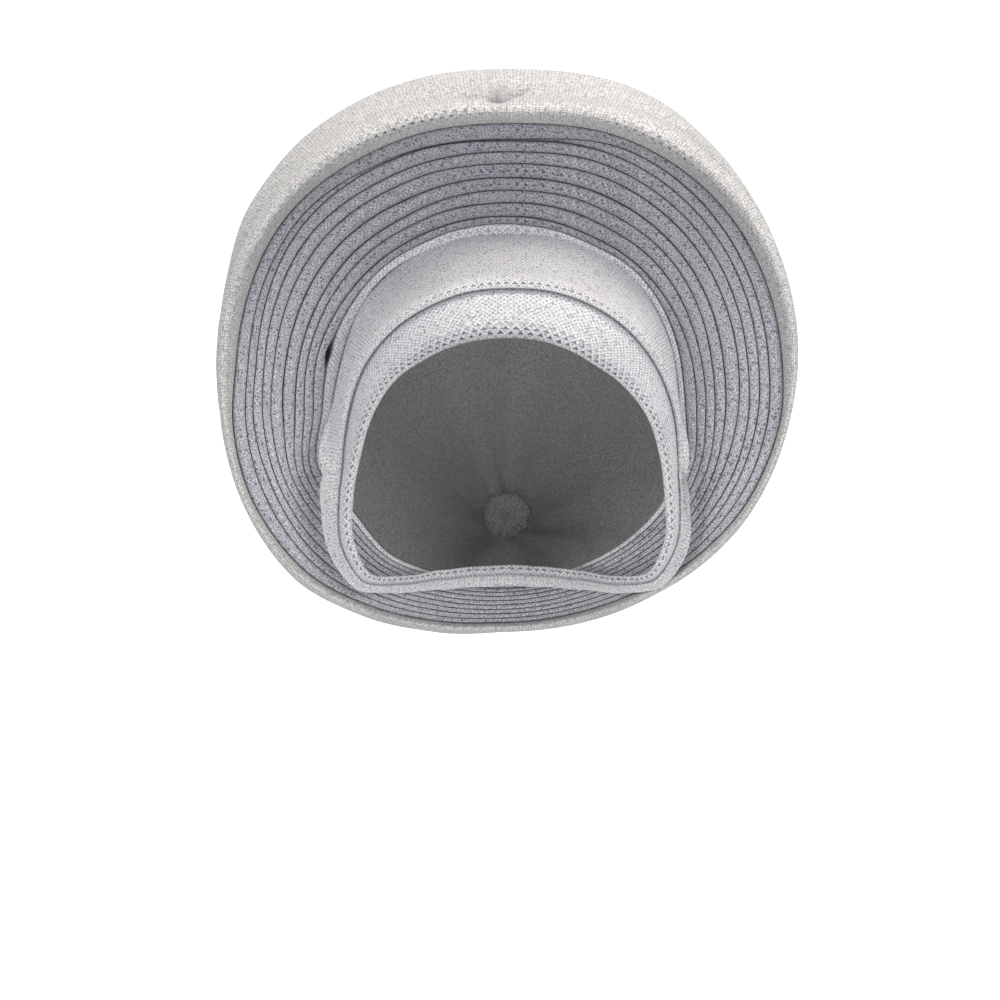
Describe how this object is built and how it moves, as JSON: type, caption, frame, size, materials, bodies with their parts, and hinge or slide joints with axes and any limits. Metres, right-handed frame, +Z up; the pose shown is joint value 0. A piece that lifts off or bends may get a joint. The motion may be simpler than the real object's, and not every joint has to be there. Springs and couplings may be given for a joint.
{
  "type": "turban",
  "caption": "Ready-tied white head wrap with a flared halo of pleats round the face, two bands on the forehead and a puffed crown; it is pulled on over the head.",
  "frame": {"origin": "centre of the seat inside the head hollow, level with the upper forehead and in the middle from left to right, which is also the centre of the ring of pleats seen from the front", "axes": "+Z up along the standing wearer's head, -Y out of the face opening, +X towards the wearer's left"},
  "size_m": [0.2492, 0.2006, 0.2433],
  "materials": {
    "crown_knit": "white mesh knit, matt with a faint silver sparkle",
    "pleat_knit": "the same white mesh knit in pressed folds",
    "band_knit": "the same white mesh knit drawn smooth"
  },
  "bodies": {
    "root": {"crown_wrap": "crown_knit", "pleat_01": "pleat_knit", "pleat_02": "pleat_knit", "pleat_03": "pleat_knit", "pleat_04": "pleat_knit", "pleat_05": "pleat_knit", "pleat_06": "pleat_knit", "pleat_07": "pleat_knit", "pleat_08": "pleat_knit", "pleat_09": "pleat_knit", "inner_strip": "band_knit", "forehead_band": "band_knit", "front_band": "band_knit"}
  },
  "joints": []
}
